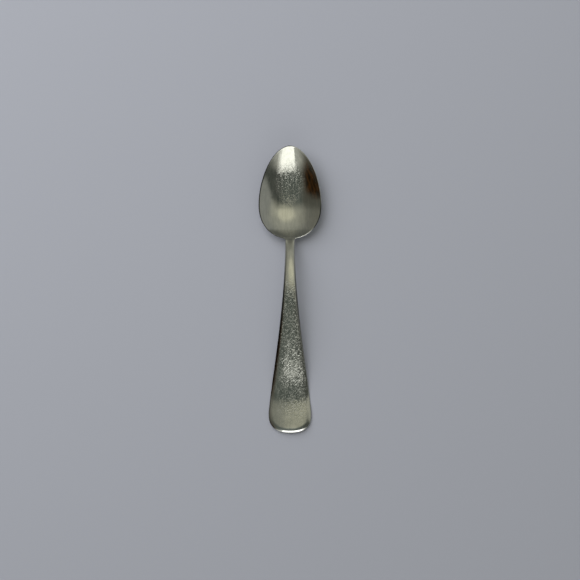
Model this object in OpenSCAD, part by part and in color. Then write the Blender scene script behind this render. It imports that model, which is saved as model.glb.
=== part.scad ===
// Serving spoon that lies face up on a table.
// A dished bowl and an arched handle that widens to a rounded end, butt welded behind the bowl.
// X runs across the spoon, Y along it with the tip of the bowl at +Y, and Z up from the table.
// Places along the spoon are distances from the tip of the bowl.

/* [Overall] */
// Length from the tip of the bowl to the end of the handle
spoon_l = 212; // [195:1:240]

/* [Bowl outline] */
// Length of the bowl, from its tip to the corners beside the neck
bowl_l = 68; // [62:0.5:76]
// Width of the bowl at its widest place
bowl_w = 46.5; // [40:0.5:54]
// Distance from the tip to the widest place
widest_at = 43; // [38:0.5:48]
// Power of the curve between the tip and the widest place, where 2 is an ellipse
tip_power = 1.85; // [1.6:0.05:2.4]
// Power along the spoon of the curve between the widest place and the heel
heel_long_power = 2.25; // [1.8:0.05:3]
// Power across the spoon of the curve between the widest place and the heel
heel_wide_power = 2.1; // [1.6:0.05:2.6]
// Size of the small fillet in the corner between the rim and the neck
corner_fillet = 2; // [1:0.1:4]

/* [Bowl dish] */
// Distance from the tip to the deepest place
deepest_at = 46; // [38:0.5:50]
// Thickness of the bowl's wall
wall_t = 1.6; // [1.2:0.1:2.4]
// Power of the hollow across the bowl, where 2 is a parabola
dish_power = 2.3; // [2:0.1:3]
// Power of the hollow along the bowl between the deepest place and the neck, where 2 is a parabola
heel_power = 2; // [1.6:0.05:2.4]
// Length of the swelling under the heel, where the neck thins out into the bowl
heel_l = 14; // [8:0.5:22]
// Width over which the flanks of the swelling die away
heel_flank = 3.5; // [2:0.1:6]
// Width of the rounding along the rim
rim_round = 0.8; // [0.5:0.05:1.2]

/* [Neck] */
// Width of the neck
neck_w = 7.3; // [6:0.1:10]
// Thickness of the neck
neck_t = 3.6; // [2.8:0.1:4.6]
// Distance from the corners of the bowl to the thickest place of the neck
neck_l = 7; // [5:0.5:12]
// Rise of the neck's crown above its edges
neck_crown = 0.7; // [0.2:0.05:1.2]
// Distance from the corners of the bowl to the weld
weld_back = 4; // [3:0.5:5]

/* [Handle] */
// Width of the handle's end at its widest place
paddle_w = 31.8; // [24:0.5:40]
// Distance from the widest place of the handle to its end
end_l = 14; // [10:0.5:20]
// Power of the rounded end along the spoon
end_long_power = 2.6; // [2:0.1:4]
// Power of the rounded end across the spoon
end_wide_power = 2.5; // [2:0.1:4]
// Power that keeps the stem slender near the neck
taper_start_power = 1.7; // [1.2:0.05:2.4]
// Power that lets the taper run out near the widest place
taper_run_power = 1.25; // [1:0.05:2]
// Thickness of the handle where it rests and at its end
end_t = 2.6; // [2:0.1:3.4]
// Rise of the handle's crown above its edges at the rounded end
end_crown = 1.6; // [0.4:0.05:1.8]
// Width of the rounding along the sides of the neck, which widens along the handle
edge_round = 1.2; // [0.6:0.1:2]
// Width of the rounding along the end of the handle
end_round = 4; // [0.8:0.1:6]

/* [Heights above the table] */
// Rim at the tip of the bowl
tip_h = 16; // [12:0.1:20]
// Rim at its lowest place, beside the heel
low_h = 8.6; // [7:0.1:11]
// Upper face at the top of the handle's arch
arch_h = 15.3; // [13:0.1:22]
// Upper face at the end of the handle
end_h = 3.9; // [3.2:0.1:9]
// Distance from the tip of the bowl to the lowest place of the rim
low_at = 60; // [50:0.5:64]
// Power of the rim's curve up to the tip, where 1 is straight
rim_power = 1.5; // [1.2:0.05:2.2]
// Distance from the tip of the bowl to the top of the arch
arch_at = 106; // [98:1:120]
// Power of the neck's rise to the arch, where a higher one starts more steeply
rise_power = 2.65; // [1.8:0.05:3.2]
// Size of the soft bend in which the rim turns up into the neck
root_bend = 2; // [0.5:0.1:4]
// Distance from the end of the handle to the place where it rests on the table
rest_l = 25; // [18:0.5:32]
// Power of the fall's start at the arch, where a lower one falls sooner
fall_start_power = 0.6; // [0.4:0.05:1.5]
// Power of the fall's end at the resting place, where a higher one turns up more sharply
fall_turn_power = 8; // [3:0.5:10]
// Sharpness of the upward turn beyond the resting place, where a lower one is sharper
turn_ease = 0.25; // [0.1:0.05:1]
// Depth of the flats worn where the spoon rests on the table
wear_flat = 0.12; // [0.05:0.01:0.25]

/* [Hidden] */

// Places along the spoon
neck_at = bowl_l + neck_l;
weld_at = bowl_l + weld_back;
rest_at = spoon_l - rest_l;
paddle_at = spoon_l - end_l;
heel_at = bowl_l - heel_l;

// Upper faces at the two places where the spoon rests, with the wear taken off below
floor_h = wall_t - wear_flat;
rest_h = end_t - wear_flat;

// Length behind the widest place at which the curve of the heel would close on the centre line
heel_close = (bowl_l - widest_at)
    / pow(1 - pow(neck_w / bowl_w, heel_wide_power), 1 / heel_long_power);

// Steps of a section from the centre line to each edge, and the short step used to measure slopes
section_n = 15;
probe = 0.05;

// Steepest slope for which the wall is made thicker upright, so that it stays even along its slant
slant_limit = 0.7;

// Facets along the spoon: spacings in the parts that curve gently and in those that turn sharply
wide_pitch = 3.4;
close_pitch = 1.6;
corner_pitch = 0.6;
tip_rows = 20;
end_rows = 14;
corner_zone = 7;
rest_zone = 6.4;
floor_zone = 8;

satin_steel = [0.50, 0.495, 0.45];
tumbled_steel = [0.47, 0.47, 0.43];

function part_of(t) = min(1, max(0, t));
function ease(t) = t * t * (3 - 2 * t);
function blend(a, b, t) = a + (b - a) * ease(part_of(t));
function soft_max(a, b, size) = max(a, b) + pow(max(size - abs(a - b), 0), 2) / (4 * size);

// Outline: half width of the stem alone, without the rounded end, and of the whole spoon
function stem_half(s) =
    let (t = part_of((s - neck_at) / (paddle_at - neck_at)))
    (neck_w + (paddle_w - neck_w) * (1 - pow(1 - pow(t, taper_start_power), taper_run_power))) / 2;

function end_share(s) =
    let (t = part_of((spoon_l - s) / end_l))
    pow(1 - pow(1 - t, end_long_power), 1 / end_wide_power);

function tip_half(s) =
    bowl_w / 2 * pow(max(0, 1 - pow(1 - s / widest_at, tip_power)), 1 / tip_power);

function heel_half(s) =
    let (t = min(1, (s - widest_at) / heel_close))
    bowl_w / 2 * pow(1 - pow(t, heel_long_power), 1 / heel_wide_power);

function half_width(s) =
    s < widest_at ? tip_half(s)
    : soft_max(heel_half(s), stem_half(s), corner_fillet) * end_share(s);

// Side view: the line of the rim, from the tip down to the heel
function rim_line(s) = low_h + (tip_h - low_h) * pow(max(0, 1 - s / low_at), rim_power);

// Rise from the floor to the arch, in two curves that meet in one slope between the bowl's corners
rise_h = arch_h - floor_h;
heel_run = bowl_l - deepest_at;
neck_run = arch_at - bowl_l;
heel_rise = rise_h * rise_power * heel_run / (heel_power * neck_run + rise_power * heel_run);
function climb(s) =
    s < bowl_l ? floor_h + heel_rise * pow((s - deepest_at) / heel_run, heel_power)
    : arch_h - (rise_h - heel_rise) * pow((arch_at - s) / neck_run, rise_power);

// Fall from the arch to the resting place as a share of its height, and lift beyond it
function fallen(t) =
    let (start = fall_start_power + 1)
    let (turn = start + fall_turn_power)
    pow(t, start) / start - pow(t, turn) / turn;
function lift(t) = t * t * (1 + turn_ease) / (t + turn_ease);

// Side view: the centre line of the upper face, from the tip to the end of the handle
function centre_line(s) =
    s < deepest_at ? floor_h + (rim_line(s) - floor_h) * pow(1 - s / deepest_at, 2)
    : s < arch_at ? climb(s)
    : s < rest_at ? arch_h - (arch_h - rest_h) * fallen((s - arch_at) / (rest_at - arch_at)) / fallen(1)
    : rest_h + (end_h - rest_h) * lift((s - rest_at) / rest_l);

// Side view: the edges of the upper face, where the rim turns up into the neck
function spine(s) =
    s < deepest_at ? rim_line(s)
    : s < arch_at ? soft_max(rim_line(s), centre_line(s), root_bend)
    : centre_line(s);

// Depth of the bowl's hollow below its edges
function hollow(s) = spine(s) - centre_line(s);

// Rise of the crown, thickness on the centre line, and width of the rounded edge
function crown(s) =
    s < neck_at ? blend(0, neck_crown, (s - bowl_l) / neck_l)
    : blend(neck_crown, end_crown, (s - neck_at) / (rest_at - neck_at));

function stem_t(s) =
    s < neck_at ? blend(wall_t, neck_t, (s - heel_at) / (neck_at - heel_at))
    : blend(neck_t, end_t, (s - neck_at) / (rest_at - neck_at));

function rounding(s) =
    s < neck_at ? blend(rim_round, edge_round, (s - bowl_l) / neck_l)
    : blend(edge_round, end_round, (s - neck_at) / (paddle_at - neck_at));

// Upper face before its edges are rounded
function across(x, half) = pow(abs(x) / max(half, probe), dish_power);
function upper_face(x, s) =
    spine(s) - crown(s) * across(x, stem_half(s)) - hollow(s) * (1 - across(x, half_width(s)));

function steepness(x, s) =
    norm([
        upper_face(x + probe, s) - upper_face(x - probe, s),
        upper_face(x, s + probe) - upper_face(x, s - probe)
    ]) / (2 * probe);

// Metal between the two faces, upright: the wall, the swelling under the heel and the crown
function metal(x, s) =
    let (off = max(0, abs(x) - stem_half(s)) / heel_flank)
    let (square = wall_t + (stem_t(s) - wall_t) * exp(-off * off) - crown(s) * across(x, stem_half(s)))
    square * sqrt(1 + pow(min(steepness(x, s), slant_limit), 2));

// Share of the metal that the rounded edge leaves, from the distance in from the outline
function edge_share(x, s) =
    let (half = half_width(s))
    let (spread = (half_width(s + probe) - half_width(s - probe)) / (2 * probe))
    let (in_from_edge = max(0, half * half - x * x) / (2 * norm([x, half * spread])))
    let (t = part_of(in_from_edge / rounding(s)))
    sqrt(1 - (1 - t) * (1 - t));

// Middle height and half of the metal left at one place
function middle(x, s) = upper_face(x, s) - metal(x, s) / 2;
function half_metal(x, s) = metal(x, s) / 2 * edge_share(x, s);

// One section: across the upper face from left to right, then back along the lower face
function section(s) =
    let (half = half_width(s))
    let (y = spoon_l / 2 - s)
    let (places = [for (i = [-section_n : section_n]) half * sin(90 * i / section_n)])
    let (last = len(places) - 1)
    concat(
        [for (x = places) [x, y, middle(x, s) + half_metal(x, s)]],
        [for (i = [last - 1 : -1 : 1])
            let (x = places[i])
            [x, y, max(0, middle(x, s) - half_metal(x, s))]]
    );

// Places of the sections between two distances, without the first
function rows(from, to, pitch) =
    let (count = max(1, ceil((to - from) / pitch)))
    [for (i = [1 : count]) from + (to - from) * i / count];

function bowl_rows() =
    let (tip_end = deepest_at - floor_zone)
    concat(
        [for (i = [1 : tip_rows]) tip_end * (1 - cos(90 * i / tip_rows))],
        rows(tip_end, deepest_at + floor_zone, close_pitch),
        rows(deepest_at + floor_zone, bowl_l - corner_zone, wide_pitch),
        rows(bowl_l - corner_zone, weld_at, corner_pitch)
    );

function handle_rows() =
    let (end_start = rest_at + rest_zone)
    concat(
        [weld_at],
        rows(weld_at, rest_at - rest_zone, wide_pitch),
        rows(rest_at - rest_zone, end_start, close_pitch),
        [for (i = [1 : end_rows - 1]) spoon_l - (spoon_l - end_start) * (1 - sin(90 * i / end_rows))]
    );

// Faces of the skin between two neighbouring sections, split alike on both sides of the centre
function skin(count, size) =
    [for (row = [0 : count - 2])
        for (k = [0 : size - 1])
            let (next = (k + 1) % size)
            let (a = row * size + k)
            let (b = row * size + next)
            let (c = b + size)
            let (d = a + size)
            let (left = k < size / 4 || k >= size * 3 / 4)
            for (face = left ? [[a, b, c], [a, c, d]] : [[a, b, d], [b, c, d]]) face];

function tip_point() = [0, spoon_l / 2, middle(0, probe)];
function end_point() = [0, -spoon_l / 2, middle(0, spoon_l - probe)];

// Dished bowl with its neck stub, closed at the tip and flat at the weld
module bowl() {
    sections = [for (s = bowl_rows()) section(s)];
    size = len(sections[0]);
    count = len(sections);
    tip = count * size;
    weld = (count - 1) * size;
    points = concat([for (ring = sections) each ring], [tip_point()]);
    tip_faces = [for (k = [0 : size - 1]) [tip, (k + 1) % size, k]];
    weld_face = [for (k = [0 : size - 1]) weld + k];
    color(satin_steel)
        polyhedron(points, concat(tip_faces, skin(count, size), [weld_face]), convexity = 4);
}

// Arched handle, flat at the weld and closed at its rounded end
module handle() {
    sections = [for (s = handle_rows()) section(s)];
    size = len(sections[0]);
    count = len(sections);
    end = count * size;
    last = (count - 1) * size;
    points = concat([for (ring = sections) each ring], [end_point()]);
    weld_face = [for (k = [size - 1 : -1 : 0]) k];
    end_faces = [for (k = [0 : size - 1]) [last + k, last + (k + 1) % size, end]];
    color(tumbled_steel)
        polyhedron(points, concat([weld_face], skin(count, size), end_faces), convexity = 4);
}

bowl();
handle();
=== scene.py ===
import math

import bmesh
import bpy
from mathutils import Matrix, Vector


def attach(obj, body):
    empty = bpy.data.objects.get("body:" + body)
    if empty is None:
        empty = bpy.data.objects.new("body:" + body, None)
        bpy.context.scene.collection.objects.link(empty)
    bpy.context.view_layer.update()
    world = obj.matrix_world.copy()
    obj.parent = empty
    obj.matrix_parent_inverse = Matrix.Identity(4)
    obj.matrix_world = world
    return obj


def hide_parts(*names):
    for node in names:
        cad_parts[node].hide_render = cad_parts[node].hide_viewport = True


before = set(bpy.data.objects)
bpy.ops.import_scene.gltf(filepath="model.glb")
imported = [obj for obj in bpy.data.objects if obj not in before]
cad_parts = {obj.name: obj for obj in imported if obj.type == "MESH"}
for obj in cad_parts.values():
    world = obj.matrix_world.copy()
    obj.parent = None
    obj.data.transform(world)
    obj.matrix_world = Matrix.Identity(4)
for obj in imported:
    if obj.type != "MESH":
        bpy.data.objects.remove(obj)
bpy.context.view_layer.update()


# Welded spoon
# A steel bowl and a steel handle, butt-welded across the neck and ground as one, so that no seam
# shows. Use has worn the rim bright. A painted highlight brightens the rim further at the heel's right
# and brightens the handle's end, and painted shade darkens the sides of both.

MERGE_DIST = 1e-6
RIGHT_ANGLE = math.pi / 2
ROW_INFLUENCE = 2
SMOOTHING = 2
RIM_SHINE = 0.25
BOWL_MIDDLE = Vector((0, 0.062, 0))

# Each pair says where a mask starts and where it is full: X and Y are places, Z is how far a face
# looks up, and the others are an angle between faces and how far a face looks away from the bowl.
EDGE_TURN = (math.radians(8), math.radians(24))
# Where a painted highlight brightens the rim at the heel's right and the handle's end.
HIGHLIGHT_HEEL_X = (0.001, 0.006)
HIGHLIGHT_HEEL_Y = (0.0465, 0.043)
HIGHLIGHT_END_Y = (-0.1015, -0.1045)
# Where painted shade darkens the outside of the rim and the sides of the handle.
RIM_OUTSIDE = (-0.5, -0.2)
SHADE_RIM_X = (0.006, -0.004)
SHADE_RIM_Y = (0.07, 0.058)
SHADE_GRIP_X = (0.03, -0.004)
SHADE_GRIP_Y = (0.035, -0.005)
SHADE_GRIP_Z = (0.97, 0.83)
SHADE_END_X = (-0.001, -0.02)
UNSHADED_END_Y = (-0.1, -0.091)
HANDLE_Y = (0.039, 0.034)
UPPER_Z = (-0.5, -0.1)
RUBBED_Z = (0.55, 0.85)

weld_y = min(vert.co.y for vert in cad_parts["bowl"].data.vertices)


def part_way(value, start, end):
    """How far a value has gone from a start to an end, from 0 to 1."""
    return min(1, max(0, (value - start) / (end - start)))


def painted_shade_rim(vert, rim):
    """How much painted shade darkens the outside of the bowl's rim, at its left and towards the neck.
    """
    outward = (vert.co - BOWL_MIDDLE).to_2d().normalized()
    outside = part_way(vert.normal.to_2d().dot(outward), *RIM_OUTSIDE)
    return rim * outside * max(part_way(vert.co.x, *SHADE_RIM_X), part_way(vert.co.y, *SHADE_RIM_Y))


def painted_shade_grip(vert):
    """How much painted shade darkens the sides of the handle, most at its left and less at its end."""
    shaded_grip = max(part_way(vert.co.y, *UNSHADED_END_Y), part_way(vert.co.x, *SHADE_END_X))
    shaded_grip *= part_way(vert.co.y, *SHADE_GRIP_Y) * part_way(vert.co.x, *SHADE_GRIP_X)
    return part_way(vert.normal.z, *SHADE_GRIP_Z) * shaded_grip


def mark_use(bm):
    """Note at each point how bright its edge is from wear and painted highlight, how much painted shade
    darkens its side, and whether it is rubbed.
    """
    wear = bm.verts.layers.float.new("wear")
    painted_shade = bm.verts.layers.float.new("painted_shade")
    rubbed = bm.verts.layers.float.new("rubbed")
    for vert in bm.verts:
        turn = max(edge.calc_face_angle(0) for edge in vert.link_edges)
        rim = part_way(turn, *EDGE_TURN)
        highlit_heel = part_way(vert.co.x, *HIGHLIGHT_HEEL_X) * part_way(vert.co.y, *HIGHLIGHT_HEEL_Y)
        grip = part_way(vert.co.y, *HANDLE_Y)
        rim_wear_and_highlight = rim * (RIM_SHINE + (1 - RIM_SHINE) * highlit_heel) * (1 - grip)
        # Worn edges, brightened further by a painted highlight at the heel's right and the handle's
        # end.
        vert[wear] = max(rim_wear_and_highlight, part_way(vert.co.y, *HIGHLIGHT_END_Y))
        # Painted shade on the outside of the rim and the sides of the handle.
        shade_amount = painted_shade_rim(vert, rim) * (1 - highlit_heel) * (1 - grip) + painted_shade_grip(vert) * grip
        vert[painted_shade] = shade_amount * part_way(vert.normal.z, *UPPER_Z)
        vert[rubbed] = part_way(abs(vert.normal.z), *RUBBED_Z)


def ground_spoon():
    """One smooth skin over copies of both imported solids, joined at the weld and ground flush."""
    bm = bmesh.new()
    for node in ("bowl", "handle"):
        bm.from_mesh(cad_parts[node].data)
    weld_faces = [face for face in bm.faces
                  if all(abs(vert.co.y - weld_y) < MERGE_DIST for vert in face.verts)]
    bmesh.ops.delete(bm, geom=weld_faces, context="FACES")
    bmesh.ops.remove_doubles(bm, verts=bm.verts, dist=MERGE_DIST)
    for face in bm.faces:
        face.material_index = int(face.calc_center_median().y < weld_y)
        face.smooth = True
    bmesh.ops.join_triangles(
        bm,
        faces=bm.faces,
        cmp_materials=True,
        angle_face_threshold=RIGHT_ANGLE,
        angle_shape_threshold=RIGHT_ANGLE,
        topology_influence=ROW_INFLUENCE,
    )
    bm.normal_update()
    mark_use(bm)
    blank = bpy.data.meshes.new("blank")
    bm.to_mesh(blank)
    bm.free()
    spoon = bpy.data.objects.new("blank", blank)
    bpy.context.collection.objects.link(spoon)
    smoothing = spoon.modifiers.new("smooth", "SUBSURF")
    smoothing.levels = SMOOTHING
    smoothing.render_levels = SMOOTHING
    smooth = spoon.evaluated_get(bpy.context.evaluated_depsgraph_get())
    skin = bpy.data.meshes.new_from_object(smooth)
    bpy.data.objects.remove(spoon)
    return skin


def spoon_piece(name, index):
    """One of the two pieces of the spoon, cut from its skin and closed by a flat weld face."""
    bm = bmesh.new()
    bm.from_mesh(spoon_skin)
    others = [face for face in bm.faces if face.material_index != index]
    bmesh.ops.delete(bm, geom=others, context="FACES")
    ring = [edge for edge in bm.edges if edge.is_boundary]
    for edge in ring:
        edge.smooth = False
    bmesh.ops.edgeloop_fill(bm, edges=ring)
    bmesh.ops.recalc_face_normals(bm, faces=bm.faces)
    for face in bm.faces:
        face.material_index = 0
    mesh = bpy.data.meshes.new(name)
    bm.to_mesh(mesh)
    bm.free()
    piece = bpy.data.objects.new(name, mesh)
    bpy.context.collection.objects.link(piece)
    return piece


spoon_skin = ground_spoon()


# Bowl
# The dished end of the spoon with its short neck stub, pressed from steel sheet and brushed along
# its length. Food and other spoons have pitted and scratched the floor of its hollow.

MM = 0.001
STEEL_DARK = (0.39, 0.395, 0.347, 1)
STEEL_LIGHT = (0.51, 0.508, 0.447, 1)
# Colour of worn edges and of the painted highlight at the heel's right and the handle's end.
STEEL_WEAR_AND_HIGHLIGHT = (0.85, 0.85, 0.8, 1)
# Colour of the painted shade on the sides of the rim and the handle.
STEEL_PAINTED_SHADE = (0.05, 0.051, 0.046, 1)
STEEL_SCRATCHED = (0.58, 0.58, 0.53, 1)

# Each pattern has a squeeze along the spoon, a scale per millimetre and its octaves.
GRAIN = (0.04, 2.6, 4)
STREAKS = (0.1, 0.7, 3)
PITS = (0.7, 0.8, 3)
WAVES = (1, 0.2, 2)
MOTTLE = (1, 0.09, 4)
BLOTCHES = (1, 0.3, 3)
STREAK_EDGE = (0.36, 0.64)

# What the patterns do to the steel's tone, to its roughness and, in millimetres, to its height.
MOTTLE_TONE = 0.9
BLOTCH_TONE = 0.6
STREAK_TONE = 0.4
SATIN_ROUGH = 0.1
GRAIN_ROUGH = 0.1
STREAK_ROUGH = 0.06
WORN_ROUGH = 0.03
GRAIN_HEIGHT = 0.006
WAVE_HEIGHT = 0.025

# Specks have a lean in radians, a length and a width. Scratches have a spacing, a lean and its
# spread in radians, a half length and a half width. All lengths are in millimetres.
SPECKS = [(0.9, 1.5, 0.7), (2.2, 1.2, 0.7)]
SPECK_OCTAVES = 2
SPECK_EDGE = (0.58, 0.65)
HOLLOW_SCRATCHES = [
    (1.5, 1.5, 6.2, 0.4, 0.2),
    (2.4, 1.4, 1.2, 1.5, 0.16),
    (1.2, 0.5, 6.2, 0.3, 0.22),
]
SHORTEST_SCRATCH = 0.3
SCRATCH_ENDS = (0, 0.35)

HOLLOW_HALF_W = 11
HOLLOW_HALF_L = 17
HOLLOW_MIDDLE_Y = 80
HOLLOW_EDGE = (1.3, 0.4)


class Field:
    """What a node puts out over a surface. Sums and products of fields add Math nodes."""

    def __init__(self, tree, socket=None):
        self.tree = tree
        self.socket = socket

    def node(self, kind, settings, values, output=0):
        """Add a node: first its settings, then the values or links of its sockets."""
        made = self.tree.nodes.new(kind)
        for key, setting in settings.items():
            setattr(made, key, setting)
        for key, value in values.items():
            if isinstance(value, Field):
                self.tree.links.new(value.socket, made.inputs[key])
            else:
                made.inputs[key].default_value = value
        return Field(self.tree, made.outputs[output])

    def math(self, operation, *values):
        return self.node("ShaderNodeMath", {"operation": operation}, dict(enumerate(values)))

    def vector(self, operation, *values):
        return self.node("ShaderNodeVectorMath", {"operation": operation}, dict(enumerate(values)))

    def __add__(self, other):
        return self.math("ADD", self, other)

    def __sub__(self, other):
        return self.math("SUBTRACT", self, other)

    def __rsub__(self, other):
        return self.math("SUBTRACT", other, self)

    def __mul__(self, other):
        return self.math("MULTIPLY", self, other)

    def __truediv__(self, other):
        return self.math("DIVIDE", self, other)

    def __abs__(self):
        return self.math("ABSOLUTE", self)

    __radd__ = __add__
    __rmul__ = __mul__

    def clamped(self):
        return self.node("ShaderNodeClamp", {}, {0: self})

    def fade(self, start, end):
        """Rise smoothly from 0 at one value to 1 at another."""
        return self.node(
            "ShaderNodeMapRange",
            {"interpolation_type": "SMOOTHSTEP"},
            {"Value": self, "From Min": start, "From Max": end},
        )

    def swing(self, share):
        """The field's swing about its middle, times a share."""
        return (self - 0.5) * share

    def part(self, axis):
        return self.node("ShaderNodeSeparateXYZ", {}, {0: self}, axis)

    def noise(self, scale, octaves):
        return self.node(
            "ShaderNodeTexNoise", {}, {"Vector": self, "Scale": scale, "Detail": octaves}
        )

    def mix(self, low, high):
        """Mix two colours, the second where this field is 1."""
        return self.node("ShaderNodeMix", {"data_type": "RGBA"}, {0: self, 6: low, 7: high}, 2)


def pattern(place, squeeze, scale, octaves):
    """Noise that is drawn out along the spoon where its squeeze is less than 1."""
    return place.vector("MULTIPLY", place, (1, squeeze, 1)).noise(scale, octaves)


def specks(place, lean, length, width):
    """Mask of dull specks, close together and drawn out at a lean."""
    turned = place.node(
        "ShaderNodeVectorRotate", {"rotation_type": "Z_AXIS"}, {"Vector": place, "Angle": -lean}
    )
    cells = place.vector("MULTIPLY", turned, (1 / length, 1 / width, 1 / width))
    return cells.noise(1, SPECK_OCTAVES).fade(*SPECK_EDGE)


def scratches(place, spacing, lean, spread, length, width):
    """Mask of straight scratches, one in each cell, at random angles about a lean."""
    cells = {"Vector": place, "Scale": 1 / spacing}
    flat = {"voronoi_dimensions": "2D"}
    centre = place.node("ShaderNodeTexVoronoi", flat, cells, "Position")
    chance = place.node("ShaderNodeTexVoronoi", flat, cells, "Color")
    turn = chance.part(0).swing(spread) + lean
    offset = place.vector("SUBTRACT", place, centre)
    cosine = turn.math("COSINE", turn)
    sine = turn.math("SINE", turn)
    along = offset.part(0) * cosine + offset.part(1) * sine
    across = offset.part(1) * cosine - offset.part(0) * sine
    line = 1 - abs(across) / width
    reach = (chance.part(1) * (1 - SHORTEST_SCRATCH) + SHORTEST_SCRATCH) * length
    run = 1 - abs(along) / reach
    return line.clamped() * run.fade(*SCRATCH_ENDS) * chance.part(2)


def strongest(masks):
    """The strongest of several masks at each place."""
    result = masks[0]
    for mask in masks[1:]:
        result = result.math("MAXIMUM", result, mask)
    return result


def worn_steel(name, scratch_layers, worn_zone, streak_rough, speck_share, pit_height, scratch_depth):
    """Brushed steel with edges brightened by wear and painted highlight, sides darkened by painted
    shade, and pitted, specked and scratched in one zone.
    """
    material = bpy.data.materials.new(name)
    material.use_nodes = True
    tree = material.node_tree
    surface = tree.nodes["Principled BSDF"]
    start = Field(tree)
    metres = start.node("ShaderNodeTexCoord", {}, {}, "Object")
    place = start.vector("MULTIPLY", metres, (1 / MM, 1 / MM, 1 / MM))
    wear, painted_shade, rubbed = [
        start.node("ShaderNodeAttribute", {"attribute_name": use}, {}, "Fac")
        for use in ("wear", "painted_shade", "rubbed")
    ]
    painted_shade = painted_shade.fade(0, 1)

    grain = pattern(place, *GRAIN)
    streaks = pattern(place, *STREAKS).fade(*STREAK_EDGE)
    pits = pattern(place, *PITS)
    waves = pattern(place, *WAVES)
    mottle = pattern(place, *MOTTLE)
    blotches = pattern(place, *BLOTCHES)
    zone = worn_zone(place) * (1 - painted_shade) * rubbed
    lines = strongest([scratches(place, *layer) for layer in scratch_layers]) * zone
    dots = strongest([specks(place, *layer) for layer in SPECKS]) * zone

    tone = mottle.swing(MOTTLE_TONE) + blotches.swing(BLOTCH_TONE) + streaks.swing(STREAK_TONE)
    tone = tone + pits.swing(zone) + 0.5
    metal = tone.clamped().mix(STEEL_DARK, STEEL_LIGHT)
    # Worn edges and painted highlight.
    metal = wear.mix(metal, STEEL_WEAR_AND_HIGHLIGHT)
    # Painted shade on the sides.
    metal = painted_shade.mix(metal, STEEL_PAINTED_SHADE)
    metal = lines.mix(metal, STEEL_SCRATCHED)
    rough = SATIN_ROUGH + grain.swing(GRAIN_ROUGH)
    rough = rough + streaks.swing(zone * streak_rough + STREAK_ROUGH) + zone * WORN_ROUGH
    height = grain * GRAIN_HEIGHT + waves * WAVE_HEIGHT
    height = height + pits * zone * pit_height - lines * scratch_depth
    bump = start.node("ShaderNodeBump", {}, {"Distance": MM, "Height": height})
    tree.links.new(metal.socket, surface.inputs["Base Color"])
    tree.links.new(rough.clamped().socket, surface.inputs["Roughness"])
    tree.links.new((1 - dots * speck_share).socket, surface.inputs["Metallic"])
    tree.links.new(bump.socket, surface.inputs["Normal"])
    return material


def hollow_zone(place):
    """An oval of the hollow's floor towards the tip, which food and other spoons rub."""
    across = place.part(0) / HOLLOW_HALF_W
    along = (place.part(1) - HOLLOW_MIDDLE_Y) / HOLLOW_HALF_L
    return (across * across + along * along).fade(*HOLLOW_EDGE)


bowl = spoon_piece("spoon_bowl", 0)
bowl.data.materials.append(worn_steel(
    "satin_steel",
    HOLLOW_SCRATCHES,
    hollow_zone,
    streak_rough=0.2,
    speck_share=0.24,
    pit_height=0.075,
    scratch_depth=0.05,
))
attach(bowl, "root")
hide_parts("bowl")


# Handle
# The arched handle, forged from a thicker strip of the same steel and widened to a rounded end.
# It is welded to the bowl behind the rim, ground flush, and scratched where it is gripped.

GRIP_SCRATCHES = [
    (2.1, 0.85, 1.4, 1.2, 0.34),
    (1.5, 0.8, 3.0, 0.55, 0.3),
    (2.9, 2.4, 1.4, 0.9, 0.3),
    (6.5, 0.8, 0.4, 3.6, 0.3),
]
GRIP_NECK_Y = (18, -4)
GRIP_END_Y = (-106, -82)
GRIP_FULL_Y = (-50, -34)
GRIP_LEFT_X = (-17, 6)
GRIP_RIGHT_X = (16, 9)
NEAR_END_SHARE = 0.78
AT_SIDES_SHARE = 0.2


def grip_zone(place):
    """The middle of the handle, which short scratches cover, up to the smooth rounded end."""
    x = place.part(0)
    y = place.part(1)
    length = y.fade(*GRIP_FULL_Y) * (1 - NEAR_END_SHARE) + NEAR_END_SHARE
    width = x.fade(*GRIP_LEFT_X) * x.fade(*GRIP_RIGHT_X) * (1 - AT_SIDES_SHARE) + AT_SIDES_SHARE
    return y.fade(*GRIP_NECK_Y) * y.fade(*GRIP_END_Y) * length * width


handle = spoon_piece("spoon_handle", 1)
handle.data.materials.append(worn_steel(
    "tumbled_steel",
    GRIP_SCRATCHES,
    grip_zone,
    streak_rough=0.04,
    speck_share=0.72,
    pit_height=0.01,
    scratch_depth=0.045,
))
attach(handle, "root")
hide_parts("handle")
bpy.data.meshes.remove(spoon_skin)


# Table
# A plain pale table top with a matt finish, on which the spoon lies face up.
# It stands a hair below the spoon's two rests, so that no faces coincide.

TABLE_SIDE = 6
TABLE_GAP = 0.0001
TABLE_COLOUR = (0.365, 0.378, 0.432, 1)
TABLE_ROUGH = 0.9

bm = bmesh.new()
bmesh.ops.create_grid(bm, x_segments=1, y_segments=1, size=TABLE_SIDE / 2)
bmesh.ops.translate(bm, verts=bm.verts, vec=(0, 0, -TABLE_GAP))
table_top = bpy.data.meshes.new("table")
bm.to_mesh(table_top)
bm.free()
table = bpy.data.objects.new("table", table_top)
bpy.context.collection.objects.link(table)
matt_paint = bpy.data.materials.new("matt_paint")
matt_paint.use_nodes = True
paint_surface = matt_paint.node_tree.nodes["Principled BSDF"]
paint_surface.inputs["Base Color"].default_value = TABLE_COLOUR
paint_surface.inputs["Roughness"].default_value = TABLE_ROUGH
table_top.materials.append(matt_paint)


# Studio light
# A soft box of three sheets in front of the handle's end, which only the steel mirrors, and a large
# one at the back left, which only lights what is matt. The room is grey, with a warm glow overhead
# and a dark brown corner at the front left.


def towards(across, along):
    """The direction at so many degrees from overhead, across to +X and along to +Y."""
    tilt = math.hypot(across, along)
    share = math.sin(math.radians(tilt)) / tilt
    return Vector((across * share, along * share, math.cos(math.radians(tilt))))


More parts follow.
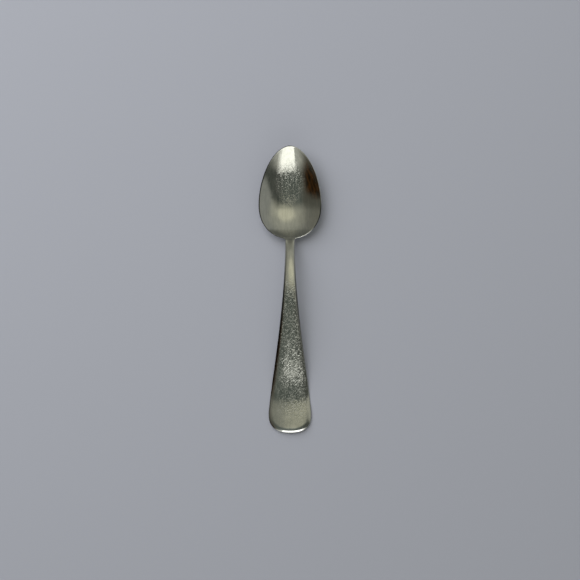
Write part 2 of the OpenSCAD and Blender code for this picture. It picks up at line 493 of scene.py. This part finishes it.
# Sheets have a distance, a right edge and a radiance. Glows have an axis, a reach in degrees and a
# strength. Other pairs say where a fade starts and ends, as parts of a direction along X or Y.
SHEET_AXIS = towards(0, -56)
SHEET_LEFT = -0.32
SHEET_LENGTH = 1.17
SHEETS = [(1.4, 1.12, 0.35), (1.37, 0.9, 0.5), (1.34, 0.68, 0.7)]
TABLE_BOX_AXIS = towards(-32, 34)
TABLE_BOX_DISTANCE = 1.6
TABLE_BOX_SIDE = 1.7
TABLE_BOX_RADIANCE = 3.15

BACK_LEFT = (0.23, 0.228, 0.203, 1)
BACK_RIGHT = (0.37, 0.38, 0.37, 1)
BACK_SIDES_X = (-0.95, 0.12)
BACK_LOW = (0.17, 0.175, 0.165, 1)
BACK_LOW_Y = (0.6, 0.8)
GLOW = (1.25, 1.21, 0.96, 1)
GLOWS = [(towards(8, 13), 21, 0.38), (towards(8, 13), 52, 0.2), (towards(30, 4), 20, 0.1)]

FRONT_GREY = (0.14, 0.16, 0.15, 1)
FRONT_GREY_RIGHT = (0.1, 0.108, 0.1, 1)
FRONT_RIGHT_X = (0.1, 0.5)
FRONT_GREY_LEFT = (0.135, 0.135, 0.118, 1)
FRONT_LEFT_X = (-0.3, -0.6)
DARK_AXIS = towards(-63, -21)
DARK_REACH = (32, 5)
DARK_Y = (-0.08, -0.22)
DARK_BROWN = (0.014, 0.01, 0.006, 1)
LIGHT_BROWN = (0.075, 0.032, 0.009, 1)
BROWN_SCALE = 9
BROWN_OCTAVES = 2
BROWN_EDGE = (0.4, 0.62)
HALO = (1.2, 1.2, 1.15, 1)
HALO_AXIS = towards(12, -53)
HALO_REACH = (68, 25)
HALO_Y = (-0.47, -0.75)
HALO_STRENGTH = 0.5
BEND_FROM_X = 0.4
BEND = 1.5
CEILING_Y = (-0.07, 0.1)


def soft_box(name, axis, distance, shift, width, length, radiance):
    """A rectangular lamp that looks back along an axis, moved sideways from it."""
    lamp = bpy.data.lights.new(name, "AREA")
    lamp.shape = "RECTANGLE"
    lamp.size = width
    lamp.size_y = length
    lamp.energy = radiance * math.pi * width * length
    stand = bpy.data.objects.new(name, lamp)
    stand.location = axis * distance + Vector((shift, 0, 0))
    stand.rotation_euler = axis.to_track_quat("Z", "Y").to_euler()
    bpy.context.collection.objects.link(stand)
    return stand


for distance, sheet_right, radiance in SHEETS:
    sheet_w = sheet_right - SHEET_LEFT
    sheet_x = (sheet_right + SHEET_LEFT) / 2
    sheet = soft_box("front_box", SHEET_AXIS, distance, sheet_x, sheet_w, SHEET_LENGTH, radiance)
    sheet.visible_diffuse = False
table_box = soft_box(
    "table_box",
    TABLE_BOX_AXIS,
    TABLE_BOX_DISTANCE,
    0,
    TABLE_BOX_SIDE,
    TABLE_BOX_SIDE,
    TABLE_BOX_RADIANCE,
)
table_box.visible_glossy = False

room = bpy.data.worlds.new("room")
room.use_nodes = True
bpy.context.scene.world = room
sky = Field(room.node_tree).node("ShaderNodeTexCoord", {}, {}, "Generated")
right = sky.part(0)
back = sky.part(1)


def around(axis, outer, inner):
    """1 within an inner angle of an axis, and fading to 0 at an outer one, in degrees."""
    facing = sky.node("ShaderNodeVectorMath", {"operation": "DOT_PRODUCT"}, {0: sky, 1: axis}, "Value")
    return facing.fade(math.cos(math.radians(outer)), math.cos(math.radians(inner)))


back_wall = right.fade(*BACK_SIDES_X).mix(BACK_LEFT, BACK_RIGHT)
back_wall = back.fade(*BACK_LOW_Y).mix(back_wall, BACK_LOW)
glow = sum(around(axis, reach, 0) * strength for axis, reach, strength in GLOWS)
ceiling = glow.mix(back_wall, GLOW)
front_wall = right.fade(*FRONT_RIGHT_X).mix(FRONT_GREY, FRONT_GREY_RIGHT)
front_wall = right.fade(*FRONT_LEFT_X).mix(front_wall, FRONT_GREY_LEFT)
brown = sky.noise(BROWN_SCALE, BROWN_OCTAVES).fade(*BROWN_EDGE).mix(DARK_BROWN, LIGHT_BROWN)
dark = around(DARK_AXIS, *DARK_REACH) * back.fade(*DARK_Y)
front_wall = dark.mix(front_wall, brown)
halo = around(HALO_AXIS, *HALO_REACH) * back.fade(*HALO_Y) * HALO_STRENGTH
front_wall = halo.mix(front_wall, HALO)
bend = right.math("MAXIMUM", right - BEND_FROM_X, 0)
walls = (back + bend * bend * BEND).fade(*CEILING_Y).mix(front_wall, ceiling)
room.node_tree.links.new(walls.socket, room.node_tree.nodes["Background"].inputs["Color"])


# Camera
# It looks straight down from a metre above the middle of the spoon, with the bowl upward,
# and takes in about twice the spoon's length.

VIEW_HEIGHT = 1.0
VIEW_WIDTH = 0.432
SENSOR = 36

view = bpy.data.cameras.new("camera")
view.sensor_width = SENSOR
view.lens = SENSOR * VIEW_HEIGHT / VIEW_WIDTH
camera = bpy.data.objects.new("camera", view)
camera.location = (0, 0, VIEW_HEIGHT)
bpy.context.collection.objects.link(camera)
bpy.context.scene.camera = camera
bpy.context.scene.view_settings.view_transform = "Standard"
